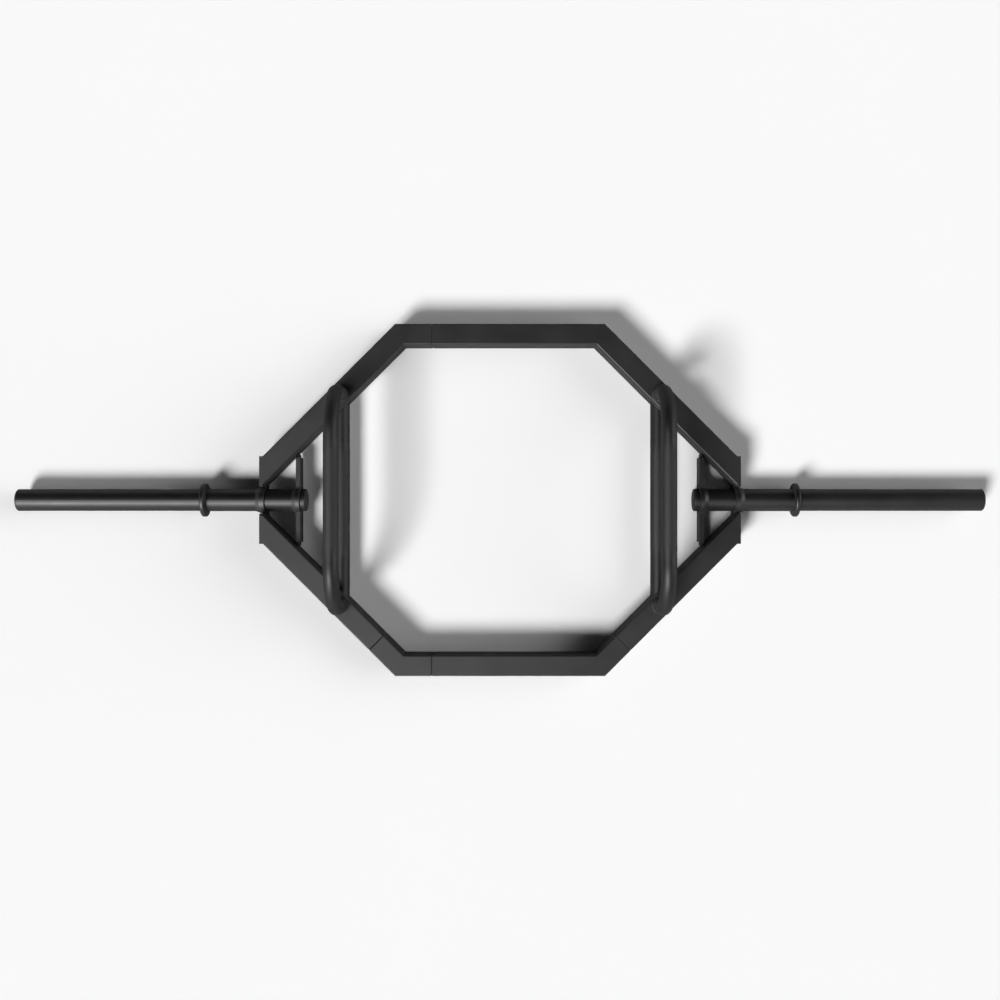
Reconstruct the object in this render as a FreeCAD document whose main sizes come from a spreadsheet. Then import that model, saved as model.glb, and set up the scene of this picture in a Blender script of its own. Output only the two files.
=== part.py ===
import FreeCAD, Part
import Sketcher
import os

# Hex trap bar: a six-sided welded frame that the lifter stands in, with a loading sleeve at each end,
# a pair of low handles and a pair of raised handles. Lengths are in millimetres. X runs along the
# sleeves, Y from the front rail to the rear rail, and Z up from the floor.

# Driving dimensions, and two shares
SIZES = {
    "tube_width": 45.8,
    "tube_height": 75.0,
    "tube_wall": 3.0,
    "tube_corner_radius": 2.0,
    "bore_corner_share": 0.5,
    "frame_depth": 793.8,
    "corner_spacing": 454.4,
    "corner_leg": 73.2,
    "joint_bevel": 1.6,
    "nose_clearance": 8.5,
    "outer_plate_thickness": 7.8,
    "outer_plate_overhang": 0.1,
    "saddle_web": 8.1,
    "saddle_mouth_chamfer": 4.5,
    "plate_gap": 70.4,
    "inner_bar_thickness": 10.0,
    "inner_bar_height": 41.0,
    "inner_bar_lift": 9.0,
    "inner_bar_clip": 8.0,
    "inner_bar_notch": 4.5,
    "overall_length": 2200.0,
    "sleeve_diameter": 49.6,
    "sleeve_wall": 4.0,
    "sleeve_root_step": 0.6,
    "sleeve_inner_reach": 13.9,
    "hub_wall": 4.5,
    "hub_edge": 3.8,
    "hub_slope": 9.0,
    "hub_rim": 0.8,
    "outer_hub_projection": 12.0,
    "outer_hub_reach": 0.6,
    "inner_hub_projection": 8.0,
    "inner_hub_reach": 0.4,
    "collar_offset": 125.0,
    "collar_thickness": 11.5,
    "collar_wall": 12.7,
    "collar_edge_share": 0.36,
    "collar_weld_leg": 1.0,
    "end_cap_flange": 4.5,
    "end_cap_edge": 1.2,
    "inner_cap_band": 5.0,
    "inner_cap_edge_radius": 3.5,
    "cap_plug_length": 18.0,
    "cap_plug_wall": 3.0,
    "fit_clearance": 0.15,
    "handle_diameter": 33.7,
    "handle_wall": 3.2,
    "handle_setback": 94.3,
    "raised_post": 45.0,
    "raised_bend_radius": 97.0,
    "raised_foot_inset": 2.5,
    "cut_overrun": 10.0,
}

# Sizes that follow from the driving dimensions. The diagonals lie at 45 degrees, so each of their
# vertical faces is a line in plan on which x and y add up to the same length.
LAYOUT = {
    "tube_half_width": "sizes.tube_width / 2",
    "tube_half_height": "sizes.tube_height / 2",
    "bore_half_width": "tube_half_width - sizes.tube_wall",
    "bore_half_height": "tube_half_height - sizes.tube_wall",
    "bore_corner_radius": "sizes.tube_corner_radius * sizes.bore_corner_share",
    "rail_offset": "(sizes.frame_depth - sizes.tube_width) / 2",
    "corner_offset": "sizes.corner_spacing / 2",
    "rail_length": "sizes.corner_spacing - 2 * sizes.corner_leg",
    "leg_slant": "sizes.corner_leg / sqrt(2)",
    "diagonal_line": "rail_offset + corner_offset",
    "inner_line": "diagonal_line - sizes.tube_width / sqrt(2)",
    "outer_line": "diagonal_line + sizes.tube_width / sqrt(2)",
    "sleeve_radius": "sizes.sleeve_diameter / 2",
    "sleeve_bore": "sleeve_radius - sizes.sleeve_wall",
    "root_radius": "sleeve_radius + sizes.sleeve_root_step",
    "ring_bore": "root_radius + sizes.fit_clearance",
    "hub_radius": "ring_bore + sizes.hub_wall",
    "hub_face_radius": "hub_radius - sizes.hub_edge",
    "saddle_radius": "hub_radius + sizes.fit_clearance",
    "saddle_mouth": "saddle_radius + sizes.saddle_mouth_chamfer",
    "sleeve_height": "saddle_radius + sizes.saddle_web",
    "outer_plate_inner": "inner_line - root_radius - sizes.nose_clearance",
    "outer_plate_outer": "outer_plate_inner + sizes.outer_plate_thickness",
    "outer_plate_half": "outer_line - outer_plate_inner + sizes.outer_plate_overhang",
    "inner_bar_outer": "outer_plate_inner - sizes.plate_gap",
    "inner_bar_inner": "inner_bar_outer - sizes.inner_bar_thickness",
    "inner_bar_end": "inner_line - inner_bar_outer",
    "inner_bar_top": "sizes.inner_bar_lift + sizes.inner_bar_height",
    "diagonal_middle": "(outer_plate_inner - corner_offset) * sqrt(2) - sizes.corner_leg",
    "diagonal_long": "diagonal_middle + tube_half_width",
    "outer_hub_start": "outer_plate_inner - sizes.outer_hub_reach",
    "outer_hub_end": "outer_plate_outer + sizes.outer_hub_projection",
    "inner_hub_start": "inner_bar_inner - sizes.inner_hub_reach",
    "inner_hub_end": "inner_bar_outer + sizes.inner_hub_projection",
    "collar_start": "outer_plate_outer + sizes.collar_offset",
    "collar_end": "collar_start + sizes.collar_thickness",
    "collar_radius": "ring_bore + sizes.collar_wall",
    "collar_edge_radius": "sizes.collar_thickness * sizes.collar_edge_share",
    "collar_weld_radius": "ring_bore + sizes.collar_weld_leg",
    "root_end": "collar_end + sizes.collar_weld_leg",
    "tip": "sizes.overall_length / 2",
    "sleeve_end": "tip - sizes.end_cap_flange",
    "inner_end": "inner_bar_inner - sizes.sleeve_inner_reach",
    "sleeve_start": "inner_end + sizes.inner_cap_band + sizes.inner_cap_edge_radius",
    "plug_radius": "sleeve_bore - sizes.fit_clearance",
    "plug_bore": "plug_radius - sizes.cap_plug_wall",
    "handle_radius": "sizes.handle_diameter / 2",
    "handle_bore": "handle_radius - sizes.handle_wall",
    "handle_offset": "inner_bar_inner - sizes.handle_setback",
    "low_handle_half": "inner_line - handle_offset",
    "raised_foot": "diagonal_line - handle_offset - sizes.raised_foot_inset",
    "raised_straight": "raised_foot - sizes.raised_bend_radius",
    "raised_rise": "sizes.raised_post + sizes.raised_bend_radius",
}

SIDES = {"left": -1, "right": 1}
ENDS = {"front": -1, "rear": 1}
FULL_TURN = 360
HALF_TURN = 180
DIAGONAL_TURN = 45
ACROSS, LATERAL, UPRIGHT = FreeCAD.Vector(1, 0, 0), FreeCAD.Vector(0, 1, 0), FreeCAD.Vector(0, 0, 1)
STEP_FOLDER = "parts"

document = FreeCAD.newDocument("hex_trap_bar")
bodies = []


def fill_sheet(name, rows, prefix):
    """Makes a sheet with one named cell for each row."""
    sheet = document.addObject("Spreadsheet::Sheet", name)
    for row, (alias, content) in enumerate(rows.items(), start=1):
        sheet.set(f"A{row}", alias)
        sheet.set(f"B{row}", f"{prefix}{content}")
        sheet.setAlias(f"B{row}", alias)
    document.recompute()
    return sheet


fill_sheet("sizes", SIZES, "")
layout = fill_sheet("layout", LAYOUT, "=")


def value_of(expression):
    """Number that an expression over the sheets comes to."""
    return float(layout.evalExpression(expression))


def point_of(place):
    """Sketch point for a pair of expressions."""
    return FreeCAD.Vector(value_of(place[0]), value_of(place[1]), 0)


def minus(expression):
    """Expression for the same length on the other side of zero."""
    return f"-({expression})"


# Sketches
def new_sketch(body, plane, name):
    """Adds an empty sketch on one of the body's own origin planes."""
    sketch = body.newObject("Sketcher::SketchObject", name)
    planes = [feature for feature in body.Origin.OriginFeatures if feature.Role == plane]
    sketch.AttachmentSupport = [(planes[0], "")]
    sketch.MapMode = "FlatFace"
    return sketch


def bind(sketch, constraint, expression):
    """Adds a dimension to a sketch and ties it to the sheets."""
    index = sketch.addConstraint(constraint)
    name = f"size_{index}"
    sketch.renameConstraint(index, name)
    sketch.setExpression(f"Constraints.{name}", expression)


def pin(sketch, curve, end, place):
    """Fixes one point of a curve at a place."""
    point = point_of(place)
    bind(sketch, Sketcher.Constraint("DistanceX", -1, 1, curve, end, point.x), place[0])
    bind(sketch, Sketcher.Constraint("DistanceY", -1, 1, curve, end, point.y), place[1])


def draw_line(sketch, start, finish):
    """Draws a line between two fixed places."""
    curve = sketch.addGeometry(Part.LineSegment(point_of(start), point_of(finish)), False)
    pin(sketch, curve, 1, start)
    pin(sketch, curve, 2, finish)
    return curve


def join_with_arc(sketch, before, after, centre, radius):
    """Draws an arc, anticlockwise, from the end of one line to the start of another."""
    circle = Part.Circle(point_of(centre), UPRIGHT, value_of(radius))
    start = circle.parameter(sketch.getPoint(before, 2))
    finish = circle.parameter(sketch.getPoint(after, 1))
    curve = sketch.addGeometry(Part.ArcOfCircle(circle, start, finish), False)
    sketch.addConstraint(Sketcher.Constraint("Coincident", before, 2, curve, 1))
    sketch.addConstraint(Sketcher.Constraint("Coincident", curve, 2, after, 1))
    bind(sketch, Sketcher.Constraint("Radius", curve, value_of(radius)), radius)


def draw_polygon(sketch, places):
    """Draws a closed outline of straight lines through the places."""
    first = sketch.GeometryCount
    points = [point_of(place) for place in places]
    for start, finish in zip(points, points[1:] + points[:1]):
        sketch.addGeometry(Part.LineSegment(start, finish), False)
    for step, place in enumerate(places):
        following = (step + 1) % len(places)
        sketch.addConstraint(Sketcher.Constraint("Coincident", first + step, 2, first + following, 1))
        pin(sketch, first + step, 1, place)


def draw_circle(sketch, place, radius):
    """Draws a circle round a place."""
    circle = Part.Circle(point_of(place), UPRIGHT, value_of(radius))
    curve = sketch.addGeometry(circle, False)
    pin(sketch, curve, 3, place)
    bind(sketch, Sketcher.Constraint("Radius", curve, value_of(radius)), radius)


def draw_rounded_rectangle(sketch, half_width, half_height, radius):
    """Draws a rectangle about the origin with rounded corners."""
    across = f"({half_width} - {radius})"
    along = f"({half_height} - {radius})"
    sides = [
        draw_line(sketch, (minus(across), minus(half_height)), (across, minus(half_height))),
        draw_line(sketch, (half_width, minus(along)), (half_width, along)),
        draw_line(sketch, (across, half_height), (minus(across), half_height)),
        draw_line(sketch, (minus(half_width), along), (minus(half_width), minus(along))),
    ]
    centres = [
        (across, minus(along)),
        (across, along),
        (minus(across), along),
        (minus(across), minus(along)),
    ]
    for before, after, centre in zip(sides, sides[1:] + sides[:1], centres):
        join_with_arc(sketch, before, after, centre, radius)


def draw_tube_section(sketch):
    """Draws the frame tube's wall, seen along the tube."""
    draw_rounded_rectangle(sketch, "layout.tube_half_width", "layout.tube_half_height",
                           "sizes.tube_corner_radius")
    draw_rounded_rectangle(sketch, "layout.bore_half_width", "layout.bore_half_height",
                           "layout.bore_corner_radius")


def draw_handle_section(sketch, place):
    """Draws the handle tube's wall, seen along the tube."""
    draw_circle(sketch, place, "layout.handle_radius")
    draw_circle(sketch, place, "layout.handle_bore")


# Solids
def new_body(name):
    """Starts a piece that is written out under its name."""
    body = document.addObject("PartDesign::Body", name)
    body.Label = name
    bodies.append(body)
    return body


def place_body(body, turn, x, y, z):
    """Turns a piece about its own origin and moves that origin to a place."""
    body.Placement = FreeCAD.Placement(FreeCAD.Vector(), turn)
    for axis, expression in zip("xyz", (x, y, z)):
        body.setExpression(f"Placement.Base.{axis}", expression)


def pad(body, sketch, length, side_type):
    """Pads a sketch to a length."""
    feature = body.newObject("PartDesign::Pad", "pad")
    feature.Profile = sketch
    feature.SideType = side_type
    feature.setExpression("Length", length)
    document.recompute()
    return feature


def cut_through(body, sketch):
    """Cuts a sketch right through a piece, both ways from the sketch's plane."""
    volume_before = body.Shape.Volume
    feature = body.newObject("PartDesign::Pocket", "cut")
    feature.Profile = sketch
    feature.SideType = "Symmetric"
    feature.Type = "ThroughAll"
    document.recompute()
    if not feature.Shape.Volume < volume_before:
        raise ValueError(f"{body.Label}: a cut takes nothing away")
    return feature


def turn_on_axis(body, places):
    """Turns an outline of (along the axis, radius) places round the X axis."""
    sketch = new_sketch(body, "XZ_Plane", "outline")
    draw_polygon(sketch, places)
    feature = body.newObject("PartDesign::Revolution", "turning")
    feature.Profile = sketch
    feature.ReferenceAxis = (sketch, ["H_Axis"])
    feature.Angle = FULL_TURN
    document.recompute()
    return feature


def sweep(body, section, path, transition):
    """Sweeps a section along a path."""
    feature = body.newObject("PartDesign::AdditivePipe", "sweep")
    feature.Profile = section
    feature.Spine = path
    feature.Transition = transition
    document.recompute()
    return feature


def names_of(feature, wanted):
    """Names of those edges of a feature that are among the wanted ones."""
    edges = enumerate(feature.Shape.Edges, start=1)
    return [f"Edge{index}" for index, edge in edges if any(edge.isSame(other) for other in wanted)]


def bevel_end(body, feature, x, y):
    """Bevels the outer edges of the tube end whose middle is at a place in the body."""
    middle = point_of((x, y))
    end = min(feature.Shape.Faces, key=lambda face: face.CenterOfMass.distanceToPoint(middle))
    bevel = body.newObject("PartDesign::Chamfer", "bevel")
    bevel.Base = (feature, names_of(feature, end.OuterWire.Edges))
    bevel.setExpression("Size", "sizes.joint_bevel")
    document.recompute()
    return bevel


def round_rim(body, feature, rim_radius, edge_radius, spots):
    """Rounds the circular edges of one radius whose middles are at the given places on the axis."""
    wanted = []
    for edge in feature.Shape.Edges:
        if not isinstance(edge.Curve, Part.Circle):
            continue
        right_size = abs(edge.Curve.Radius - value_of(rim_radius)) < value_of("sizes.fit_clearance") / 2
        gaps = [abs(edge.Curve.Center.x - value_of(spot)) for spot in spots]
        if right_size and min(gaps) < value_of("sizes.fit_clearance") / 2:
            wanted.append(edge)
    rounding = body.newObject("PartDesign::Fillet", "rounding")
    rounding.Base = (feature, names_of(feature, wanted))
    rounding.setExpression("Radius", edge_radius)
    document.recompute()
    return rounding


def corner_turn(end, side):
    """Turn that takes a front right piece of the frame to another corner of the frame."""
    if end == side:
        return FreeCAD.Rotation(LATERAL if side == SIDES["left"] else ACROSS, HALF_TURN)
    return FreeCAD.Rotation(UPRIGHT, HALF_TURN if side == SIDES["left"] else 0)


def side_turn(side):
    """Turn that takes a piece of the right side to a side of the bar."""
    return FreeCAD.Rotation(UPRIGHT, HALF_TURN if side == SIDES["left"] else 0)


# Frame
def make_rail(name, end):
    """Straight rail between two elbows; its joint at the left end shows as a groove."""
    body = new_body(name)
    sketch = new_sketch(body, "YZ_Plane", "section")
    draw_tube_section(sketch)
    tube = pad(body, sketch, "layout.rail_length", "One side")
    bevel_end(body, tube, "0", "0")
    place_body(body, FreeCAD.Rotation(), "-layout.rail_length / 2", f"{end} * layout.rail_offset",
               "layout.tube_half_height")


def make_elbow(name, end, side):
    """Corner elbow: equal legs along the rail and along the diagonal, with a sharp mitre between them."""
    body = new_body(name)
    section = new_sketch(body, "YZ_Plane", "section")
    draw_tube_section(section)
    path = new_sketch(body, "XY_Plane", "path")
    bend = ("sizes.corner_leg", "0")
    finish = ("(sizes.corner_leg + layout.leg_slant)", "layout.leg_slant")
    draw_line(path, ("0", "0"), bend)
    draw_line(path, bend, finish)
    shape = sweep(body, section, path, "Right corner")
    if side == SIDES["left"]:
        shape = bevel_end(body, shape, "0", "0")
    if end == ENDS["front"]:
        shape = bevel_end(body, shape, *finish)
    place_body(body, corner_turn(end, side), f"{side} * (layout.corner_offset - sizes.corner_leg)",
               f"{end} * layout.rail_offset", "layout.tube_half_height")


def make_diagonal(name, end, side):
    """Diagonal rail, cut square at the elbow and along the outer plate at the other end."""
    body = new_body(name)
    section = new_sketch(body, "YZ_Plane", "section")
    draw_tube_section(section)
    tube = pad(body, section, "layout.diagonal_long", "One side")
    if end == ENDS["front"]:
        bevel_end(body, tube, "0", "0")
    nose = new_sketch(body, "XY_Plane", "nose")
    reach = "(layout.tube_half_width + sizes.cut_overrun)"
    draw_polygon(nose, [
        (f"layout.diagonal_middle - {reach}", minus(reach)),
        (f"layout.diagonal_middle + {reach}", minus(reach)),
        (f"layout.diagonal_middle + {reach}", reach),
    ])
    cut_through(body, nose)
    turn = corner_turn(end, side) * FreeCAD.Rotation(UPRIGHT, DIAGONAL_TURN)
    place_body(body, turn, f"{side} * (layout.corner_offset + layout.leg_slant)",
               f"{end} * (layout.rail_offset - layout.leg_slant)", "layout.tube_half_height")


# Outer plates, inner bars and hub rings
def cut_saddle(body):
    """Cuts away the round seat of a hub ring."""
    saddle = new_sketch(body, "YZ_Plane", "saddle")
    draw_circle(saddle, ("0", "layout.sleeve_height"), "layout.saddle_radius")
    cut_through(body, saddle)


def make_outer_plate(name, side):
    """Upright plate across two diagonals' ends, with a saddle for the hub ring that opens upward."""
    body = new_body(name)
    half, top = "layout.outer_plate_half", "sizes.tube_height"
    outline = new_sketch(body, "YZ_Plane", "outline")
    draw_polygon(outline, [(minus(half), "0"), (half, "0"), (half, top), (minus(half), top)])
    pad(body, outline, "sizes.outer_plate_thickness", "One side")
    cut_saddle(body)
    mouth = new_sketch(body, "YZ_Plane", "mouth")
    throat, width = "layout.saddle_radius", "layout.saddle_mouth"
    shoulder = f"{top} - sizes.saddle_mouth_chamfer"
    above = f"{top} + sizes.cut_overrun"
    right_half = [(throat, "layout.sleeve_height"), (throat, shoulder), (width, top), (width, above)]
    left_half = [(minus(x), z) for x, z in reversed(right_half)]
    draw_polygon(mouth, right_half + left_half)
    cut_through(body, mouth)
    place_body(body, side_turn(side), f"{side} * layout.outer_plate_inner", "0", "0")


def make_inner_bar(name, end, side):
    """Flat bar on edge from the inner hub ring to a diagonal, where it ends in a thinner, sloping tongue."""
    body = new_body(name)
    bottom, top, reach = "sizes.inner_bar_lift", "layout.inner_bar_top", "layout.inner_bar_end"
    shoulder = f"({reach} - sizes.inner_bar_clip)"
    corners = [
        ("0", bottom),
        (reach, bottom),
        (reach, f"{top} - sizes.inner_bar_clip"),
        (shoulder, top),
        ("0", top),
    ]
    outline = new_sketch(body, "YZ_Plane", "outline")
    draw_polygon(outline, corners if end == side else [(minus(y), z) for y, z in corners])
    pad(body, outline, "sizes.inner_bar_thickness", "One side")
    cut_saddle(body)
    beyond = f"({reach} + sizes.cut_overrun)"
    side_notch = [
        ("-sizes.cut_overrun", shoulder),
        ("sizes.inner_bar_notch", shoulder),
        ("sizes.inner_bar_notch", beyond),
        ("-sizes.cut_overrun", beyond),
    ]
    notch = new_sketch(body, "XY_Plane", "notch")
    draw_polygon(notch, side_notch if end == side else [(x, minus(y)) for x, y in side_notch])
    cut_through(body, notch)
    place_body(body, side_turn(side), f"{side} * layout.inner_bar_inner", "0", "0")


def make_hub(name, side, start, finish):
    """Ring round the sleeve that sits in the frame and slopes down to the sleeve on its outer side."""
    body = new_body(name)
    turn_on_axis(body, [
        (start, "layout.ring_bore"),
        (finish, "layout.ring_bore"),
        (finish, "layout.hub_face_radius"),
        (f"{finish} - sizes.hub_slope", "layout.hub_radius"),
        (f"{start} + sizes.hub_rim", "layout.hub_radius"),
        (start, "layout.hub_radius - sizes.hub_rim"),
    ])
    place_body(body, side_turn(side), "0", "0", "layout.sleeve_height")


# Sleeves
def make_sleeve(name, side):
    """Loading sleeve: a through tube with a slightly thicker root that carries the rings and the collar."""
    body = new_body(name)
    turn_on_axis(body, [
        ("layout.sleeve_start", "layout.sleeve_bore"),
        ("layout.sleeve_end", "layout.sleeve_bore"),
        ("layout.sleeve_end", "layout.sleeve_radius"),
        ("layout.root_end", "layout.sleeve_radius"),
        ("layout.root_end", "layout.root_radius"),
        ("layout.sleeve_start", "layout.root_radius"),
    ])
    place_body(body, side_turn(side), "0", "0", "layout.sleeve_height")


def make_collar(name, side):
    """Stop collar that the weight plates rest against, with a fillet weld on both faces."""
    body = new_body(name)
    ring = turn_on_axis(body, [
        ("layout.collar_start - sizes.collar_weld_leg", "layout.ring_bore"),
        ("layout.root_end", "layout.ring_bore"),
        ("layout.collar_end", "layout.collar_weld_radius"),
        ("layout.collar_end", "layout.collar_radius"),
        ("layout.collar_start", "layout.collar_radius"),
        ("layout.collar_start", "layout.collar_weld_radius"),
    ])
    round_rim(body, ring, "layout.collar_radius", "layout.collar_edge_radius",
              ["layout.collar_start", "layout.collar_end"])
    place_body(body, side_turn(side), "0", "0", "layout.sleeve_height")


def make_end_cap(name, side):
    """Flat cap on the sleeve's tip with a hollow plug in the bore."""
    body = new_body(name)
    plug_end = "layout.sleeve_end - sizes.cap_plug_length"
    turn_on_axis(body, [
        ("layout.sleeve_end", "0"),
        ("layout.tip", "0"),
        ("layout.tip", "layout.sleeve_radius - sizes.end_cap_edge"),
        ("layout.tip - sizes.end_cap_edge", "layout.sleeve_radius"),
        ("layout.sleeve_end", "layout.sleeve_radius"),
        ("layout.sleeve_end", "layout.plug_radius"),
        (plug_end, "layout.plug_radius"),
        (plug_end, "layout.plug_bore"),
        ("layout.sleeve_end", "layout.plug_bore"),
    ])
    place_body(body, side_turn(side), "0", "0", "layout.sleeve_height")


def make_inner_cap(name, side):
    """Cap on the sleeve's inner end with a well rounded rim and a hollow plug in the bore."""
    body = new_body(name)
    plug_end = "layout.sleeve_start + sizes.cap_plug_length"
    cap = turn_on_axis(body, [
        ("layout.inner_end", "0"),
        ("layout.sleeve_start", "0"),
        ("layout.sleeve_start", "layout.plug_bore"),
        (plug_end, "layout.plug_bore"),
        (plug_end, "layout.plug_radius"),
        ("layout.sleeve_start", "layout.plug_radius"),
        ("layout.sleeve_start", "layout.root_radius"),
        ("layout.inner_end", "layout.root_radius"),
    ])
    round_rim(body, cap, "layout.root_radius", "sizes.inner_cap_edge_radius", ["layout.inner_end"])
    place_body(body, side_turn(side), "0", "0", "layout.sleeve_height")


# Handles
def make_low_handle(name, side):
    """Straight handle between two diagonals, its ends cut to lie on their inner faces."""
    body = new_body(name)
    section = new_sketch(body, "XZ_Plane", "section")
    draw_handle_section(section, ("0", "0"))
    pad(body, section, "2 * (layout.low_handle_half + layout.handle_radius)", "Symmetric")
    ends = new_sketch(body, "XY_Plane", "ends")
    reach = "(layout.handle_radius + sizes.cut_overrun)"
    corner = [
        (minus(reach), f"layout.low_handle_half + {reach}"),
        (reach, f"layout.low_handle_half - {reach}"),
        (reach, f"layout.low_handle_half + {reach}"),
    ]
    draw_polygon(ends, corner)
    draw_polygon(ends, [(x, minus(y)) for x, y in corner])
    cut_through(body, ends)
    place_body(body, side_turn(side), f"{side} * layout.handle_offset", "0", "layout.tube_half_height")


def make_raised_handle(name, side):
    """Bent handle that stands on two diagonals."""
    body = new_body(name)
    section = new_sketch(body, "XY_Plane", "section")
    draw_handle_section(section, ("0", "layout.raised_foot"))
    path = new_sketch(body, "YZ_Plane", "path")
    foot, straight = "layout.raised_foot", "layout.raised_straight"
    post, rise = "sizes.raised_post", "layout.raised_rise"
    near_post = draw_line(path, (foot, "0"), (foot, post))
    grip = draw_line(path, (straight, rise), (minus(straight), rise))
    far_post = draw_line(path, (minus(foot), post), (minus(foot), "0"))
    join_with_arc(path, near_post, grip, (straight, post), "sizes.raised_bend_radius")
    join_with_arc(path, grip, far_post, (minus(straight), post), "sizes.raised_bend_radius")
    sweep(body, section, path, "Transformed")
    place_body(body, side_turn(side), f"{side} * layout.handle_offset", "0", "sizes.tube_height")


def make_side(word, side):
    """Everything that belongs to one end of the bar, apart from the frame tubes."""
    make_outer_plate(f"outer_plate_{word}", side)
    for end_word, end in ENDS.items():
        make_inner_bar(f"inner_bar_{end_word}_{word}", end, side)
    make_hub(f"outer_hub_{word}", side, "layout.outer_hub_start", "layout.outer_hub_end")
    make_hub(f"inner_hub_{word}", side, "layout.inner_hub_start", "layout.inner_hub_end")
    make_sleeve(f"sleeve_{word}", side)
    make_collar(f"stop_collar_{word}", side)
    make_end_cap(f"sleeve_end_cap_{word}", side)
    make_inner_cap(f"sleeve_inner_cap_{word}", side)
    make_low_handle(f"low_handle_{word}", side)
    make_raised_handle(f"raised_handle_{word}", side)


def write_out():
    """Checks every piece and writes each one to its own file."""
    document.recompute()
    for thing in document.Objects:
        if "Invalid" in thing.State or "Error" in thing.State:
            raise ValueError(f"{thing.Label} did not build: {thing.State}")
    os.makedirs(STEP_FOLDER, exist_ok=True)
    for body in bodies:
        shape = body.Shape
        if shape.isNull() or not shape.isValid() or len(shape.Solids) != 1:
            raise ValueError(f"{body.Label} is not one sound solid")
        shape.exportStep(os.path.join(STEP_FOLDER, f"{body.Label}.step"))
        box = shape.BoundBox
        lengths = [round(length, 1) for length in (box.XLength, box.YLength, box.ZLength)]
        print(body.Label, round(shape.Volume), lengths)


for end_word, end_sign in ENDS.items():
    make_rail(f"{end_word}_rail", end_sign)
    for side_word, side_sign in SIDES.items():
        make_elbow(f"corner_{end_word}_{side_word}", end_sign, side_sign)
        make_diagonal(f"diagonal_{end_word}_{side_word}", end_sign, side_sign)
for side_word, side_sign in SIDES.items():
    make_side(side_word, side_sign)
write_out()
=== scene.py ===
import logging
import math
from dataclasses import dataclass, field
from enum import Enum
from typing import Iterable

import bpy
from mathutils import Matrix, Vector


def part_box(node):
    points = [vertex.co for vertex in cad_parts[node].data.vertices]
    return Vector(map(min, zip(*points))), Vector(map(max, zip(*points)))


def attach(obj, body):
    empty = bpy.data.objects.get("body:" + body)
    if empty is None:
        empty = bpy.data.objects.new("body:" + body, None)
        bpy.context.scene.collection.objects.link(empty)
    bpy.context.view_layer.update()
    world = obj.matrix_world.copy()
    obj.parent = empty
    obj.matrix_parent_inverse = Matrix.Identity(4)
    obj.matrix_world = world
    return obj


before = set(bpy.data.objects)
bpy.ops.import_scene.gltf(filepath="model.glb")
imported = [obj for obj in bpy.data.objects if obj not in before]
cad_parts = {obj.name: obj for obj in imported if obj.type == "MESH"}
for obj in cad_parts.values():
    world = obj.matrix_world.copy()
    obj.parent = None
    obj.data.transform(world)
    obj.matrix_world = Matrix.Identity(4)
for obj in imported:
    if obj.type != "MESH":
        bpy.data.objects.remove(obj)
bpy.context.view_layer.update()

# Looks of a black hex trap bar: coats on the frame's tubes and plates, weld beads along its joints, knurled
# grips on the handles, turned sleeves, and the pale studio that it lies in. Lengths are in metres.

ROOT = "root"
MILLIMETRE = 0.001
LOG = logging.getLogger("hex_trap_bar")

Colour = tuple[float, float, float]


class Side(Enum):
    """An end of the bar, with the sign of its X coordinates."""

    LEFT = -1
    RIGHT = 1

    @property
    def word(self) -> str:
        """Word that ends the names of this side's pieces."""
        return self.name.lower()


class End(Enum):
    """The front or the rear of the frame, with the sign of its Y coordinates."""

    FRONT = -1
    REAR = 1

    @property
    def word(self) -> str:
        """Word in the names of this end's pieces."""
        return self.name.lower()


class Slot(Enum):
    """Material slots of the part's record."""

    FRAME = "frame_coat"
    SLEEVE = "sleeve_coat"
    HANDLE = "handle_coat"
    CAP = "cap_plastic"


class NodeBoard:
    """Adds nodes to a tree and wires them by socket."""

    def __init__(self, tree: bpy.types.NodeTree) -> None:
        """Starts on a tree."""
        self.tree = tree

    def add(self, kind: str, feeds: dict | None = None, **settings: object) -> bpy.types.Node:
        """Adds one node.

        Args:
            kind: the node's type.
            feeds: what each input takes, by name or number: another node's output, or a value.
            settings: the node's own choices.

        Returns:
            The new node.
        """
        node = self.tree.nodes.new(kind)
        for key, value in settings.items():
            setattr(node, key, value)
        for key, value in (feeds or {}).items():
            if isinstance(value, bpy.types.NodeSocket):
                self.tree.links.new(value, node.inputs[key])
            else:
                node.inputs[key].default_value = value
        return node

    def maths(self, operation: str, *feeds: object) -> bpy.types.NodeSocket:
        """Result of one sum on numbers or outputs."""
        return self.add("ShaderNodeMath", dict(enumerate(feeds)), operation=operation).outputs[0]

    def span(
        self, value: object, low: float, high: float, to_low: float, to_high: float
    ) -> bpy.types.NodeSocket:
        """Carries a value from one range to another, held at the range's ends."""
        feeds = {"Value": value, "From Min": low, "From Max": high, "To Min": to_low, "To Max": to_high}
        return self.add("ShaderNodeMapRange", feeds).outputs["Result"]


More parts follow.
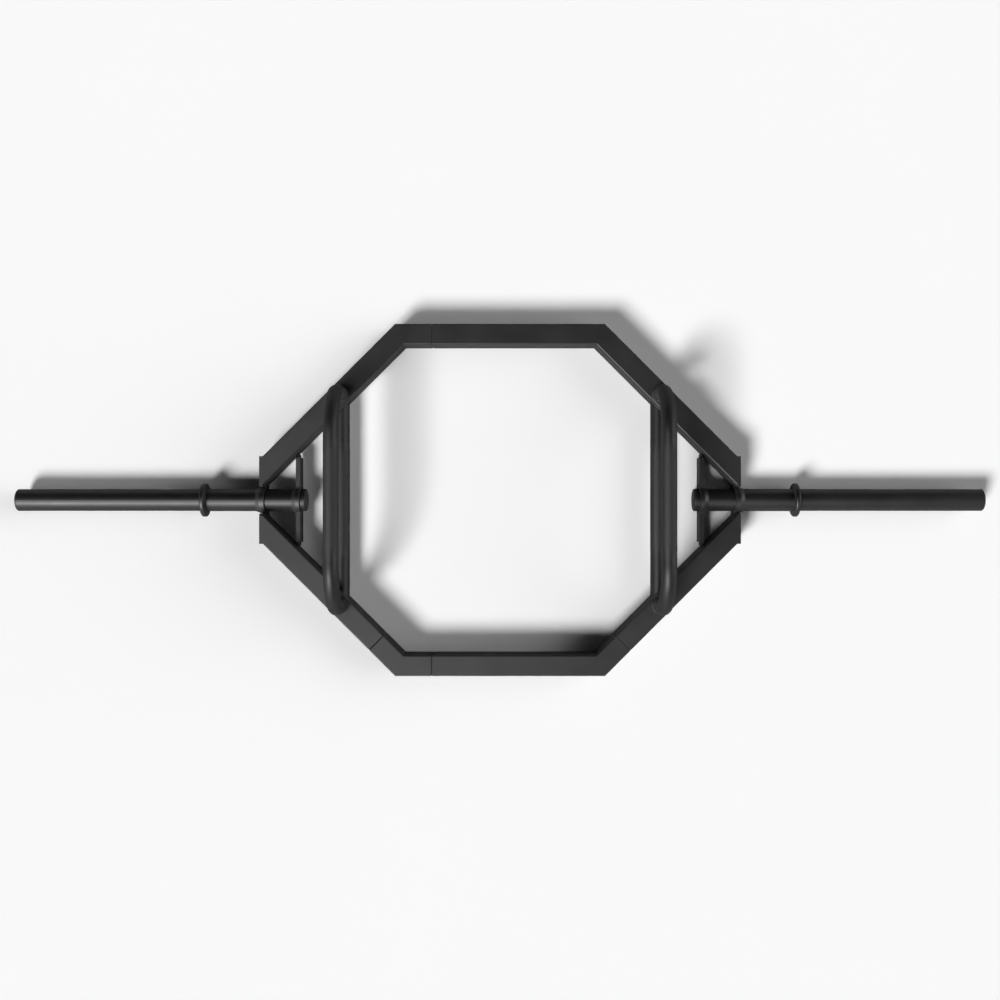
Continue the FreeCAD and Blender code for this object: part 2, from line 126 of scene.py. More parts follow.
@dataclass(frozen=True)
class Coat:
    """Black coat on metal, or black moulded plastic, with a fine surface grain.

    The grain is noise on the piece's own coordinates. Where grain_stretch is not even, the grain is drawn out
    into lines, as on a turned shaft. A coat that is rough in the small loses its gloss at a flat glance, and
    glancing_roughness is how much rougher it looks there.
    """

    name: str
    colour: Colour
    faded_colour: Colour
    roughness: float
    roughness_swing: float
    grain_size: float
    grain_depth: float
    grain_stretch: Colour = (1.0, 1.0, 1.0)
    cloud_size: float = 0.09
    specular_level: float = 0.5
    anisotropy: float = 0.0
    glancing_roughness: float = 0.0
    worn_colour: Colour | None = None
    worn_attribute: str = ""

    def material(self) -> bpy.types.Material:
        """Builds the coat's material, or gives the one that is there already.

        Returns:
            The material.
        """
        if self.name in bpy.data.materials:
            return bpy.data.materials[self.name]
        material = bpy.data.materials.new(self.name)
        material.use_nodes = True
        board = NodeBoard(material.node_tree)
        shader = material.node_tree.nodes["Principled BSDF"]
        shader.inputs["Specular IOR Level"].default_value = self.specular_level
        if self.anisotropy:
            shader.inputs["Anisotropic"].default_value = self.anisotropy
            shader.inputs["Anisotropic Rotation"].default_value = 0.25
            turning = board.add("ShaderNodeTangent", direction_type="RADIAL", axis="X")
            board.tree.links.new(turning.outputs[0], shader.inputs["Tangent"])
        place = board.add("ShaderNodeTexCoord").outputs["Object"]
        feeds = {"Vector": place, "Scale": 1 / self.cloud_size, "Detail": 4.0}
        clouds = board.add("ShaderNodeTexNoise", feeds).outputs["Fac"]
        cloud = board.span(clouds, 0.35, 0.65, 0.0, 1.0)
        colour = self._mix(board, cloud, self.colour, self.faded_colour)
        if self.worn_colour is not None:
            wear = board.add("ShaderNodeAttribute", attribute_name=self.worn_attribute).outputs["Fac"]
            colour = self._mix(board, wear, colour, self.worn_colour)
        board.tree.links.new(colour, shader.inputs["Base Color"])
        stretched = board.add("ShaderNodeMapping", {"Vector": place, "Scale": self.grain_stretch})
        feeds = {"Vector": stretched.outputs["Vector"], "Scale": 1 / self.grain_size, "Detail": 2.0}
        grain = board.add("ShaderNodeTexNoise", feeds).outputs["Fac"]
        smear = board.maths("MULTIPLY_ADD", grain, 0.5, board.maths("MULTIPLY", cloud, 0.5))
        low, high = self.roughness - self.roughness_swing, self.roughness + self.roughness_swing
        rough = board.span(smear, 0.2, 0.8, low, high)
        glance = board.add("ShaderNodeLayerWeight", {"Blend": 0.5}).outputs["Facing"]
        rough = board.maths("ADD", rough, board.span(glance, 0.1, 0.7, 0.0, self.glancing_roughness))
        board.tree.links.new(rough, shader.inputs["Roughness"])
        feeds = {"Height": grain, "Distance": self.grain_depth, "Strength": 1.0}
        bump = board.add("ShaderNodeBump", feeds).outputs["Normal"]
        board.tree.links.new(bump, shader.inputs["Normal"])
        return material

    @staticmethod
    def _mix(
        board: NodeBoard, share: bpy.types.NodeSocket, first: object, second: object
    ) -> bpy.types.NodeSocket:
        """Mixes two colours.

        Args:
            board: the tree to add to.
            share: how much of the second colour shows.
            first: a plain colour or an output.
            second: a plain colour or an output.

        Returns:
            The mixed colour.
        """
        node = board.add("ShaderNodeMix", data_type="RGBA")
        board.tree.links.new(share, node.inputs[0])
        for socket, colour in ((node.inputs[6], first), (node.inputs[7], second)):
            if isinstance(colour, bpy.types.NodeSocket):
                board.tree.links.new(colour, socket)
            else:
                socket.default_value = (*colour, 1.0)
        return node.outputs[2]


POWDER_COAT = Coat(
    name="satin_powder_coat",
    colour=(0.0016, 0.0016, 0.0018),
    faded_colour=(0.0032, 0.0032, 0.0034),
    roughness=0.425,
    roughness_swing=0.03,
    grain_size=0.9 * MILLIMETRE,
    grain_depth=0.06 * MILLIMETRE,
    specular_level=0.55,
    glancing_roughness=0.55,
)
TURNED_COAT = Coat(
    name="turned_sleeve_coat",
    colour=(0.0006, 0.0006, 0.0007),
    faded_colour=(0.0012, 0.0012, 0.0013),
    roughness=0.44,
    roughness_swing=0.03,
    grain_size=0.5 * MILLIMETRE,
    grain_depth=0.02 * MILLIMETRE,
    grain_stretch=(1.0, 0.02, 0.02),
    specular_level=0.48,
    anisotropy=0.1,
    glancing_roughness=0.4,
)
HANDLE_COAT = Coat(
    name="smooth_handle_coat",
    colour=(0.0024, 0.0024, 0.0025),
    faded_colour=(0.0042, 0.0042, 0.0043),
    roughness=0.48,
    roughness_swing=0.03,
    grain_size=1.1 * MILLIMETRE,
    grain_depth=0.04 * MILLIMETRE,
    specular_level=0.35,
    glancing_roughness=0.4,
)
KNURL_COAT = Coat(
    name="knurled_grip_coat",
    colour=(0.0024, 0.0024, 0.0025),
    faded_colour=(0.0042, 0.0042, 0.0043),
    roughness=0.47,
    roughness_swing=0.03,
    grain_size=0.6 * MILLIMETRE,
    grain_depth=0.03 * MILLIMETRE,
    specular_level=0.39,
    glancing_roughness=0.4,
    worn_colour=(0.006, 0.006, 0.0062),
    worn_attribute="peak",
)
CAP_PLASTIC = Coat(
    name="moulded_cap_plastic",
    colour=(0.004, 0.004, 0.004),
    faded_colour=(0.006, 0.006, 0.006),
    roughness=0.5,
    roughness_swing=0.05,
    grain_size=0.4 * MILLIMETRE,
    grain_depth=0.03 * MILLIMETRE,
    specular_level=0.38,
    glancing_roughness=0.3,
)


def dress(node_name: str, coat: Coat) -> None:
    """Gives a CAD node its coat.

    Args:
        node_name: name of the node.
        coat: its finish.
    """
    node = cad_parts[node_name]
    node.data.materials.clear()
    node.data.materials.append(coat.material())
    LOG.info("dressed %s in %s", node_name, coat.name)


def settle(piece: bpy.types.Object) -> None:
    """Fixes a finished piece to the bar.

    Args:
        piece: the piece, as a plain mesh.
    """
    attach(piece, ROOT)
    LOG.info("built %s with %d faces", piece.name, len(piece.data.polygons))


class ShapeTree:
    """Geometry Nodes tree with named inputs that ends in plain, coated mesh."""

    name = "shape"
    inputs: dict[str, str] = {}

    def __init__(self) -> None:
        """Lays out the inputs, the shape and the two closing steps."""
        self.tree = bpy.data.node_groups.new(self.name, "GeometryNodeTree")
        self.board = NodeBoard(self.tree)
        sockets = {"Geometry": "NodeSocketGeometry", **self.inputs, "Coat": "NodeSocketMaterial"}
        for socket_name, kind in sockets.items():
            self.tree.interface.new_socket(socket_name, in_out="INPUT", socket_type=kind)
        self.tree.interface.new_socket("Geometry", in_out="OUTPUT", socket_type="NodeSocketGeometry")
        self.given = self.board.add("NodeGroupInput").outputs
        whole = self.board.add("GeometryNodeRealizeInstances", {"Geometry": self.shape()}).outputs[0]
        feeds = {"Geometry": whole, "Material": self.given["Coat"]}
        coated = self.board.add("GeometryNodeSetMaterial", feeds)
        self.board.add("NodeGroupOutput", {"Geometry": coated.outputs[0]})

    def shape(self) -> bpy.types.NodeSocket:
        """Lays out the nodes that make the shape.

        Returns:
            The output that carries it.
        """
        raise NotImplementedError

    def make(self, name: str, source: bpy.types.Mesh, coat: Coat, **values: object) -> bpy.types.Object:
        """Runs the tree on a mesh and keeps the result as a plain mesh.

        Args:
            name: name of the new piece.
            source: mesh that goes into the tree.
            coat: finish of the piece.
            values: the tree's inputs, with _ for each space in their names.

        Returns:
            The new piece.
        """
        piece = bpy.data.objects.new(name, source)
        bpy.context.scene.collection.objects.link(piece)
        modifier = piece.modifiers.new(self.name, "NODES")
        modifier.node_group = self.tree
        wanted = {key.replace("_", " "): value for key, value in values.items()} | {"Coat": coat.material()}
        for item in self.tree.interface.items_tree:
            if item.in_out == "INPUT" and item.name in wanted:
                modifier[item.identifier] = wanted[item.name]
        depsgraph = bpy.context.evaluated_depsgraph_get()
        mesh = bpy.data.meshes.new_from_object(
            piece.evaluated_get(depsgraph), preserve_all_data_layers=True, depsgraph=depsgraph
        )
        piece.modifiers.remove(modifier)
        piece.data = mesh
        return piece


class BeadTree(ShapeTree):
    """Rippled weld bead along every edge path of a mesh."""

    name = "weld_bead"
    inputs = {
        "Bead Radius": "NodeSocketFloat",
        "Ripple Pitch": "NodeSocketFloat",
        "Ripple Depth": "NodeSocketFloat",
        "Wander": "NodeSocketFloat",
    }
    steps_per_ripple = 6
    facets = 10
    wander_size = 9 * MILLIMETRE
    end_radii = 2.5
    end_share = 0.15

    def shape(self) -> bpy.types.NodeSocket:
        """Sweeps a circle whose size rises and falls with each ripple.

        Returns:
            The output that carries the bead.
        """
        board, given = self.board, self.given
        step = board.maths("DIVIDE", given["Ripple Pitch"], float(self.steps_per_ripple))
        path = board.add("GeometryNodeMeshToCurve", {"Mesh": given["Geometry"]}).outputs[0]
        feeds = {"Curve": path, "Length": step}
        path = board.add("GeometryNodeResampleCurve", feeds, mode="LENGTH").outputs[0]
        place = board.add("GeometryNodeInputPosition").outputs[0]
        noise = board.add("ShaderNodeTexNoise", {"Vector": place, "Scale": 1 / self.wander_size})
        feeds = {0: noise.outputs["Color"], 1: (0.5, 0.5, 0.5)}
        centred = board.add("ShaderNodeVectorMath", feeds, operation="SUBTRACT").outputs[0]
        feeds = {0: centred, "Scale": given["Wander"]}
        push = board.add("ShaderNodeVectorMath", feeds, operation="SCALE")
        path = board.add("GeometryNodeSetPosition", {"Geometry": path, "Offset": push.outputs[0]}).outputs[0]
        along = board.add("GeometryNodeSplineParameter").outputs["Length"]
        turns = board.maths("MULTIPLY", board.maths("DIVIDE", along, given["Ripple Pitch"]), math.pi)
        crest = board.maths("ABSOLUTE", board.maths("SINE", turns))
        dip = board.maths("MULTIPLY", board.maths("SUBTRACT", 1.0, crest), given["Ripple Depth"])
        size = board.maths("MULTIPLY", board.maths("SUBTRACT", 1.0, dip), self._taper(along))
        feeds = {"Resolution": self.facets, "Radius": given["Bead Radius"]}
        ring = board.add("GeometryNodeCurvePrimitiveCircle", feeds, mode="RADIUS")
        bead = board.add(
            "GeometryNodeCurveToMesh",
            {"Curve": path, "Profile Curve": ring.outputs[0], "Scale": size, "Fill Caps": True},
        )
        return board.add("GeometryNodeSetShadeSmooth", {"Geometry": bead.outputs[0]}).outputs[0]

    def _taper(self, along: bpy.types.NodeSocket) -> bpy.types.NodeSocket:
        """Thins an open run towards both its ends.

        Args:
            along: distance of a point from the start of its run.

        Returns:
            The share of the full size at that point.
        """
        board = self.board
        whole = board.add("GeometryNodeSplineLength").outputs["Length"]
        from_end = board.maths("MINIMUM", along, board.maths("SUBTRACT", whole, along))
        reach = board.maths("MULTIPLY", self.given["Bead Radius"], self.end_radii)
        share = board.maths("ADD", board.maths("DIVIDE", from_end, reach), self.end_share)
        closed = board.add("GeometryNodeInputSplineCyclic").outputs[0]
        return board.maths("MAXIMUM", board.maths("MINIMUM", share, 1.0), closed)


class KnurlTree(ShapeTree):
    """Sleeve of diamond knurling about the Y axis, closed into a thin ring by a plain inner wall."""

    name = "diamond_knurl"
    inputs = {
        "Centre": "NodeSocketVector",
        "Radius": "NodeSocketFloat",
        "Length": "NodeSocketFloat",
        "Diamonds Around": "NodeSocketInt",
        "Diamonds Along": "NodeSocketInt",
        "Depth": "NodeSocketFloat",
        "Wall": "NodeSocketFloat",
        "Fade": "NodeSocketFloat",
    }

    def shape(self) -> bpy.types.NodeSocket:
        """Wraps a grid round the handle and lifts every other point to a diamond's tip.

        Returns:
            The output that carries the knurling.
        """
        board, given = self.board, self.given
        columns = board.maths("MULTIPLY", given["Diamonds Around"], 2.0)
        rows = board.maths("ADD", board.maths("MULTIPLY", given["Diamonds Along"], 2.0), 3.0)
        sheet = board.add(
            "GeometryNodeMeshGrid",
            {
                "Size X": 1.0,
                "Size Y": 1.0,
                "Vertices X": board.maths("ADD", columns, 1.0),
                "Vertices Y": board.maths("ADD", rows, 1.0),
            },
        ).outputs["Mesh"]
        position = board.add("GeometryNodeInputPosition").outputs[0]
        place = board.add("ShaderNodeSeparateXYZ", {0: position}).outputs
        column = board.maths("ROUND", board.maths("MULTIPLY", board.maths("ADD", place["X"], 0.5), columns))
        row = board.maths("ROUND", board.maths("MULTIPLY", board.maths("ADD", place["Y"], 0.5), rows))
        last_outer = board.maths("SUBTRACT", rows, 2.0)
        below = board.maths("LESS_THAN", row, 0.5)
        above = board.maths("GREATER_THAN", row, board.maths("ADD", last_outer, 0.5))
        closing = board.maths("GREATER_THAN", row, board.maths("SUBTRACT", rows, 0.5))
        inner = board.maths("MAXIMUM", below, above)
        span = board.maths("SUBTRACT", last_outer, 1.0)
        share = board.maths("DIVIDE", board.maths("SUBTRACT", row, 1.0), span)
        share = board.maths("MINIMUM", board.maths("MAXIMUM", share, 0.0), 1.0)
        share = board.maths("MULTIPLY", share, board.maths("SUBTRACT", 1.0, closing))
        along = board.maths("MULTIPLY", board.maths("SUBTRACT", share, 0.5), given["Length"])
        half = board.maths("MULTIPLY", given["Length"], 0.5)
        from_end = board.maths("SUBTRACT", half, board.maths("ABSOLUTE", along))
        fade = board.maths("MINIMUM", board.maths("DIVIDE", from_end, given["Fade"]), 1.0)
        tip = board.maths("FLOORED_MODULO", board.maths("ADD", column, row), 2.0)
        lift = board.maths("MULTIPLY", board.maths("MULTIPLY", tip, fade), given["Depth"])
        drop = board.maths("MULTIPLY", inner, given["Wall"])
        radius = board.maths("SUBTRACT", board.maths("ADD", given["Radius"], lift), drop)
        angle = board.maths("MULTIPLY", board.maths("DIVIDE", column, columns), -2 * math.pi)
        ring = board.add(
            "ShaderNodeCombineXYZ",
            {
                "X": board.maths("MULTIPLY", radius, board.maths("COSINE", angle)),
                "Y": along,
                "Z": board.maths("MULTIPLY", radius, board.maths("SINE", angle)),
            },
        )
        where = board.add("ShaderNodeVectorMath", {0: ring.outputs[0], 1: given["Centre"]}, operation="ADD")
        marked = board.add(
            "GeometryNodeStoreNamedAttribute",
            {"Geometry": sheet, "Name": "peak", "Value": board.maths("MULTIPLY", tip, fade)},
            data_type="FLOAT",
            domain="POINT",
        )
        number = board.add("GeometryNodeInputIndex").outputs[0]
        strip = board.maths("FLOOR", board.maths("DIVIDE", number, rows))
        cell = board.maths("ADD", strip, board.maths("FLOORED_MODULO", number, rows))
        even = board.maths("LESS_THAN", board.maths("FLOORED_MODULO", cell, 2.0), 0.5)
        split = board.add(
            "GeometryNodeTriangulate", {"Mesh": marked.outputs[0], "Selection": even}, quad_method="FIXED"
        )
        split = board.add(
            "GeometryNodeTriangulate", {"Mesh": split.outputs[0]}, quad_method="FIXED_ALTERNATE"
        )
        feeds = {"Geometry": split.outputs[0], "Position": where.outputs[0]}
        wrapped = board.add("GeometryNodeSetPosition", feeds)
        closed = board.add("GeometryNodeMergeByDistance", {"Geometry": wrapped.outputs[0], "Distance": 1e-6})
        return board.add(
            "GeometryNodeSetShadeSmooth", {"Geometry": closed.outputs[0], "Shade Smooth": False}
        ).outputs[0]


@dataclass(frozen=True)
class WeldRun:
    """Line that one run of weld follows."""

    points: tuple[Vector, ...]
    closed: bool

    @classmethod
    def ring(
        cls, centre: Vector, across: Vector, up: Vector, start: float = 0.0, sweep: float = 2 * math.pi
    ) -> "WeldRun":
        """Run round a circle or an ellipse, or along an arc of it.

        Args:
            centre: middle of the circle.
            across: the first half axis.
            up: the second half axis.
            start: angle of the first point.
            sweep: angle from the first point to the last.

        Returns:
            The run.
        """
        steps = 96
        closed = sweep >= 2 * math.pi
        angles = [start + sweep * step / steps for step in range(steps if closed else steps + 1)]
        points = [centre + across * math.cos(angle) + up * math.sin(angle) for angle in angles]
        return cls(tuple(points), closed)

    @classmethod
    def line(cls, start: Vector, finish: Vector) -> "WeldRun":
        """Run along a straight line."""
        return cls((start, finish), False)


def path_mesh(name: str, runs: Iterable[WeldRun]) -> bpy.types.Mesh:
    """Mesh whose edges are the given runs.

    Args:
        name: name of the mesh.
        runs: the runs of weld.

    Returns:
        The mesh.
    """
    points: list[Vector] = []
    edges: list[tuple[int, int]] = []
    for run in runs:
        first = len(points)
        points.extend(run.points)
        numbers = list(range(first, len(points)))
        edges.extend(zip(numbers, numbers[1:]))
        if run.closed:
            edges.append((numbers[-1], first))
    mesh = bpy.data.meshes.new(name)
    mesh.from_pydata([tuple(point) for point in points], edges, [])
    return mesh


@dataclass
class Box:
    """Box of a CAD node."""

    low: Vector
    high: Vector

    @classmethod
    def of(cls, node_name: str) -> "Box":
        """Box of the node with this name."""
        low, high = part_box(node_name)
        return cls(Vector(low), Vector(high))

    @property
    def middle(self) -> Vector:
        """Centre of the box."""
        return (self.low + self.high) / 2

    @property
    def size(self) -> Vector:
        """Lengths of the box's sides."""
        return self.high - self.low


@dataclass
class HexFrame:
    """The rails, elbows and diagonals."""

    def dress(self) -> None:
        """Coats every tube of the frame."""
        for end in End:
            dress(f"{end.word}_rail", POWDER_COAT)
            for side in Side:
                dress(f"corner_{end.word}_{side.word}", POWDER_COAT)
                dress(f"diagonal_{end.word}_{side.word}", POWDER_COAT)


@dataclass
class Nose:
    """Plates and rings that carry one sleeve, and the welds that hold them."""

    side: Side
    beads: BeadTree
    fine_bead: float = 1.3 * MILLIMETRE
    bar_bead: float = 2.3 * MILLIMETRE
    ripple_pitch: float = 2.4 * MILLIMETRE
    ripple_depth: float = 0.2
    wander: float = 0.4 * MILLIMETRE
    run_margin: float = 12.0 * MILLIMETRE
    saddle_sweep: float = math.radians(200)
    tongue_clip: float = 8.0 * MILLIMETRE
    tongue_thickness: float = 5.5 * MILLIMETRE

    def dress(self) -> None:
        """Coats the plate, the bars and the rings."""
        for piece in ("outer_plate", "inner_bar_front", "inner_bar_rear", "outer_hub", "inner_hub"):
            dress(f"{piece}_{self.side.word}", POWDER_COAT)

    def build(self) -> None:
        """Lays the weld beads along the plate and its saddle, and along the bars and their ends."""
        groups = {
            "plate_welds": ([*self._plate_runs(), *self._saddle_runs()], self.fine_bead),
            "bar_welds": ([*self._bar_ring_runs(), *self._bar_end_runs()], self.bar_bead),
        }
        for name, (runs, radius) in groups.items():
            piece = self.beads.make(
                f"{name}_{self.side.word}",
                path_mesh(f"{name}_paths", runs),
                POWDER_COAT,
                Bead_Radius=radius,
                Ripple_Pitch=self.ripple_pitch,
                Ripple_Depth=self.ripple_depth,
                Wander=self.wander,
            )
            settle(piece)

    def _inner_line(self) -> float:
        """Sum of a point's distances along X and Y from the middle, on the diagonals' inner faces."""
        handle = Box.of(f"low_handle_{self.side.word}")
        return handle.high.y + abs(handle.middle.x) - handle.size.x / 2

    def _plate_runs(self) -> list[WeldRun]:
        """Finds the upright runs where the outer plate meets the diagonals.

        Returns:
            One run for each diagonal.
        """
        box = Box.of(f"outer_plate_{self.side.word}")
        reach = min(abs(box.low.x), abs(box.high.x))
        runs = []
        for end in End:
            x, y = self.side.value * reach, end.value * (self._inner_line() - reach)
            foot = Vector((x, y, box.low.z + self.run_margin))
            runs.append(WeldRun.line(foot, Vector((x, y, box.high.z - self.run_margin))))
        return runs

    def _saddle_runs(self) -> list[WeldRun]:
        """Finds the runs under the outer ring, along both edges of the plate's saddle.

        Returns:
            One run for each face of the plate.
        """
        hub = Box.of(f"outer_hub_{self.side.word}")
        plate = Box.of(f"outer_plate_{self.side.word}")
        across, up = Vector((0, hub.size.y / 2, 0)), Vector((0, 0, hub.size.z / 2))
        start = -math.pi / 2 - self.saddle_sweep / 2
        return [
            WeldRun.ring(Vector((x, 0, hub.middle.z)), across, up, start, self.saddle_sweep)
            for x in (plate.low.x, plate.high.x)
        ]

    def _bar_ring_runs(self) -> list[WeldRun]:
        """Finds the runs up one face of each inner bar along the ring, over its top and down the other face.

        Returns:
            One run for each bar.
        """
        hub = Box.of(f"inner_hub_{self.side.word}")
        radius = hub.size.z / 2
        runs = []
        for end in End:
            bar = Box.of(f"inner_bar_{end.word}_{self.side.word}")
            across, up = Vector((0, end.value * radius, 0)), Vector((0, 0, radius))
            start = math.asin((bar.low.z - hub.middle.z) / radius)
            sweep = math.asin((bar.high.z - hub.middle.z) / radius) - start
            faces = [
                WeldRun.ring(Vector((x, 0, hub.middle.z)), across, up, start, sweep).points
                for x in (bar.low.x, bar.high.x)
            ]
            runs.append(WeldRun((*faces[0], *reversed(faces[1])), False))
        return runs

    def _bar_end_runs(self) -> list[WeldRun]:
        """Finds the upright runs in the wedge between the end of each inner bar's tongue and the diagonal.

        Returns:
            One run for each bar.
        """
        runs = []
        for end in End:
            bar = Box.of(f"inner_bar_{end.word}_{self.side.word}")
            outer = max(abs(bar.low.x), abs(bar.high.x))
            x = self.side.value * (outer - self.tongue_thickness / 2)
            y = end.value * (max(abs(bar.low.y), abs(bar.high.y)) + self.bar_bead / 2)
            foot = Vector((x, y, bar.low.z))
            runs.append(WeldRun.line(foot, Vector((x, y, bar.high.z - self.tongue_clip))))
        return runs


@dataclass
class LoadingSleeve:
    """Sleeve, stop collar and caps at one end of the bar."""

    side: Side

    def dress(self) -> None:
        """Coats the turned pieces and the caps."""
        for piece in ("sleeve", "stop_collar"):
            dress(f"{piece}_{self.side.word}", TURNED_COAT)
        for piece in ("sleeve_end_cap", "sleeve_inner_cap"):
            dress(f"{piece}_{self.side.word}", CAP_PLASTIC)


@dataclass
class HandlePair:
    """Low and raised handle of one side, with their knurled grips and welds."""

    side: Side
    beads: BeadTree
    knurl: KnurlTree
    grip_half: float = 131 * MILLIMETRE
    knurl_pitch: float = 1.7 * MILLIMETRE
    knurl_depth: float = 0.13 * MILLIMETRE
    knurl_wall: float = 0.6 * MILLIMETRE
    knurl_fade: float = 25 * MILLIMETRE
    knurl_rise: float = 0.02 * MILLIMETRE
    bead_radius: float = 1.7 * MILLIMETRE
    ripple_pitch: float = 2.6 * MILLIMETRE
    ripple_depth: float = 0.2
    wander: float = 0.5 * MILLIMETRE

    def dress(self) -> None:
        """Coats the two tubes."""
        for piece in ("low_handle", "raised_handle"):
            dress(f"{piece}_{self.side.word}", HANDLE_COAT)

    def build(self) -> None:
        """Knurls both grips and lays the weld beads at the tubes' ends."""
        for piece in ("low_handle", "raised_handle"):
            self._build_grip(piece)
        piece = self.beads.make(
            f"handle_welds_{self.side.word}",
            path_mesh("handle_weld_paths", [*self._foot_runs(), *self._end_runs()]),
            POWDER_COAT,
            Bead_Radius=self.bead_radius,
            Ripple_Pitch=self.ripple_pitch,
            Ripple_Depth=self.ripple_depth,
            Wander=self.wander,
        )
        settle(piece)

    def _build_grip(self, handle: str) -> None:
        """Knurls the straight middle of one handle.

        Args:
            handle: name of the handle, without its side.
        """
        box = Box.of(f"{handle}_{self.side.word}")
        radius = box.size.x / 2
        around = round(2 * math.pi * radius / self.knurl_pitch)
        along = round(2 * self.grip_half / self.knurl_pitch)
        piece = self.knurl.make(
            f"{handle}_grip_{self.side.word}",
            bpy.data.meshes.new("grip_seed"),
            KNURL_COAT,
            Centre=(box.middle.x, 0.0, box.high.z - radius),
            Radius=radius + self.knurl_rise,
            Length=2 * self.grip_half,
            Diamonds_Around=around,
            Diamonds_Along=along,
            Depth=self.knurl_depth,
            Wall=self.knurl_wall,
            Fade=self.knurl_fade,
        )
        settle(piece)

    def _foot_runs(self) -> list[WeldRun]:
        """Finds the runs round the raised handle's feet.

        Returns:
            One run for each foot.
        """
        box = Box.of(f"raised_handle_{self.side.word}")
        radius = box.size.x / 2
        across, up = Vector((radius, 0, 0)), Vector((0, radius, 0))
        feet = [Vector((box.middle.x, end.value * (box.high.y - radius), box.low.z)) for end in End]
        return [WeldRun.ring(foot, across, up) for foot in feet]

    def _end_runs(self) -> list[WeldRun]:
        """Finds the runs round the low handle's ends, which lie on the diagonals at 45 degrees.

        Returns:
            One run for each end.
        """
        box = Box.of(f"low_handle_{self.side.word}")
        radius = box.size.x / 2
        runs = []
        for end in End:
            centre = Vector((box.middle.x, end.value * (box.high.y - radius), box.middle.z))
            across = Vector((radius, -end.value * self.side.value * radius, 0))
            runs.append(WeldRun.ring(centre, across, Vector((0, 0, radius))))
        return runs


@dataclass(frozen=True)
class PaleFloor:
    """Finish of the studio floor."""

    colour: Colour = (0.93, 0.93, 0.93)
    shade: Colour = (0.915, 0.915, 0.917)
    roughness: float = 0.75
    cloud_size: float = 0.7

    def material(self) -> bpy.types.Material:
        """Builds the floor's material.

        Returns:
            The material.
        """
        material = bpy.data.materials.new("pale_floor")
        material.use_nodes = True
        board = NodeBoard(material.node_tree)
        shader = material.node_tree.nodes["Principled BSDF"]
        shader.inputs["Roughness"].default_value = self.roughness
        shader.inputs["Specular IOR Level"].default_value = 0.0
        place = board.add("ShaderNodeTexCoord").outputs["Object"]
        noise = board.add("ShaderNodeTexNoise", {"Vector": place, "Scale": 1 / self.cloud_size})
        mix = board.add("ShaderNodeMix", data_type="RGBA")
        board.tree.links.new(noise.outputs["Fac"], mix.inputs[0])
        mix.inputs[6].default_value = (*self.colour, 1.0)
        mix.inputs[7].default_value = (*self.shade, 1.0)
        board.tree.links.new(mix.outputs[2], shader.inputs["Base Color"])
        return material


class Reach(Enum):
    """The surfaces that a lamp lights."""

    MATT = "matt"
    GLOSS = "gloss"


@dataclass(frozen=True)
class Lamp:
    """Round soft light, far off."""

    name: str
    direction: Colour
    strength: float
    angle: float
    reach: Reach

    def hang(self) -> None:
        """Puts the lamp in the studio."""
        light = bpy.data.lights.new(self.name, "SUN")
        light.energy = self.strength
        light.angle = self.angle
        lamp = bpy.data.objects.new(self.name, light)
        lamp.rotation_euler = Vector(self.direction).to_track_quat("Z", "Y").to_euler()
        lamp.visible_diffuse = self.reach is Reach.MATT
        lamp.visible_glossy = self.reach is Reach.GLOSS
        bpy.context.scene.collection.objects.link(lamp)


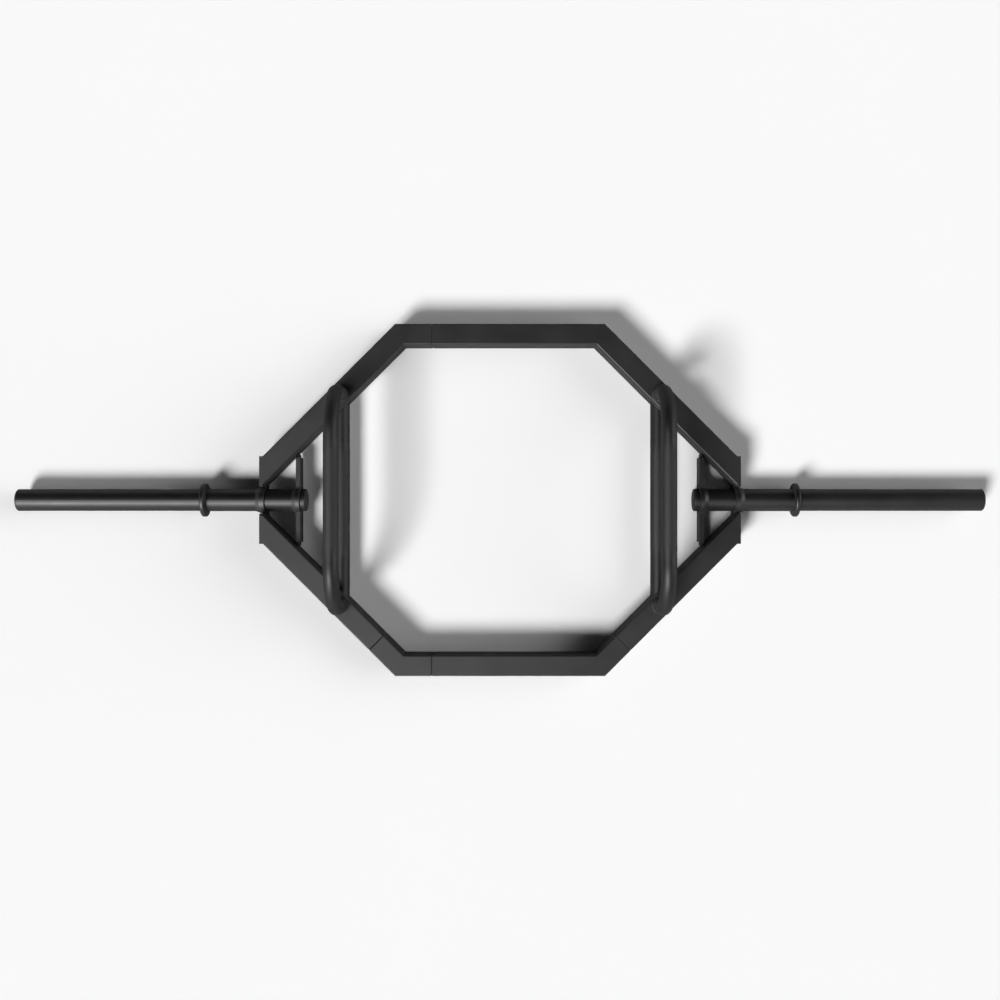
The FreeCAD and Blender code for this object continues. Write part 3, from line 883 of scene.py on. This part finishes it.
@dataclass
class Studio:
    """Pale floor, soft key light from the front left, low fill from the right, and the camera overhead."""

    floor_half: float = 30.0
    floor_drop: float = 0.3 * MILLIMETRE
    camera_height: float = 2.643
    lens: float = 41.04
    sensor: float = 36.0
    key_direction: Colour = (-0.64, -0.77, 1.0)
    key_strength: float = 3.4
    key_angle: float = math.radians(20)
    floor_key: float = 3.48
    softbox_strength: float = 3.05
    softbox_angle: float = math.radians(68)
    floor_fill: float = 0.76
    floor_fill_angle: float = math.radians(50)
    fill_direction: Colour = (0.95, 0.12, 0.37)
    fill: float = 2.65
    fill_focus: float = 11.0
    room_level: float = 0.006
    gloss_gain: float = 1.63
    backdrop: float = 0.9

    def build(self) -> None:
        """Makes the floor, the lights and the camera."""
        self._build_floor()
        for lamp in (
            Lamp("key", self.key_direction, self.key_strength, self.key_angle, Reach.GLOSS),
            Lamp("floor_key", self.key_direction, self.floor_key, self.key_angle, Reach.MATT),
            Lamp("softbox", self.key_direction, self.softbox_strength, self.softbox_angle, Reach.GLOSS),
            Lamp("floor_fill", self.fill_direction, self.floor_fill, self.floor_fill_angle, Reach.MATT),
        ):
            lamp.hang()
        self._build_room()
        self._build_camera()
        bpy.context.scene.view_settings.view_transform = "Standard"

    def _build_floor(self) -> None:
        """Lays the floor just under the bar."""
        half, drop = self.floor_half, -self.floor_drop
        corners = [(-half, -half, drop), (half, -half, drop), (half, half, drop), (-half, half, drop)]
        mesh = bpy.data.meshes.new("floor")
        mesh.from_pydata(corners, [], [(0, 1, 2, 3)])
        floor = bpy.data.objects.new("floor", mesh)
        bpy.context.scene.collection.objects.link(floor)
        mesh.materials.append(PaleFloor().material())

    def _build_room(self) -> None:
        """Surrounds the bar with a dim room that is bright low at the fill, before a pale backdrop."""
        world = bpy.data.worlds.new("room")
        bpy.context.scene.world = world
        world.use_nodes = True
        board = NodeBoard(world.node_tree)
        direction = board.add("ShaderNodeTexCoord").outputs["Generated"]
        feeds = {0: direction, 1: Vector(self.fill_direction).normalized()}
        facing = board.add("ShaderNodeVectorMath", feeds, operation="DOT_PRODUCT").outputs["Value"]
        spread = board.maths("POWER", board.maths("MAXIMUM", facing, 0.0), self.fill_focus)
        level = board.maths("MULTIPLY_ADD", spread, self.fill, self.room_level)
        ray = board.add("ShaderNodeLightPath").outputs
        gain = board.span(ray["Is Glossy Ray"], 0.0, 1.0, 1.0, self.gloss_gain)
        level = board.maths("MULTIPLY", level, gain)
        level = board.add("ShaderNodeMix", {0: ray["Is Camera Ray"], 2: level, 3: self.backdrop}).outputs[0]
        board.tree.links.new(level, world.node_tree.nodes["Background"].inputs["Strength"])
        world.node_tree.nodes["Background"].inputs["Color"].default_value = (1.0, 1.0, 1.0, 1.0)

    def _build_camera(self) -> None:
        """Sets the camera straight above the middle of the bar."""
        data = bpy.data.cameras.new("overhead")
        data.lens = self.lens
        data.sensor_width = self.sensor
        camera = bpy.data.objects.new("overhead", data)
        camera.location = (0.0, 0.0, self.camera_height)
        bpy.context.scene.collection.objects.link(camera)
        bpy.context.scene.camera = camera


@dataclass
class TrapBar:
    """The whole bar, sub-assembly by sub-assembly."""

    beads: BeadTree = field(default_factory=BeadTree)
    knurl: KnurlTree = field(default_factory=KnurlTree)

    def build(self) -> None:
        """Dresses the CAD nodes and adds the welds and grips."""
        HexFrame().dress()
        for side in Side:
            nose = Nose(side, self.beads)
            handles = HandlePair(side, self.beads, self.knurl)
            for part in (nose, LoadingSleeve(side), handles):
                part.dress()
            for part in (nose, handles):
                part.build()


def main() -> None:
    """Builds the bar and its studio."""
    logging.basicConfig(level=logging.INFO, format="%(name)s: %(message)s")
    TrapBar().build()
    Studio().build()


if __name__ == "__main__":
    main()
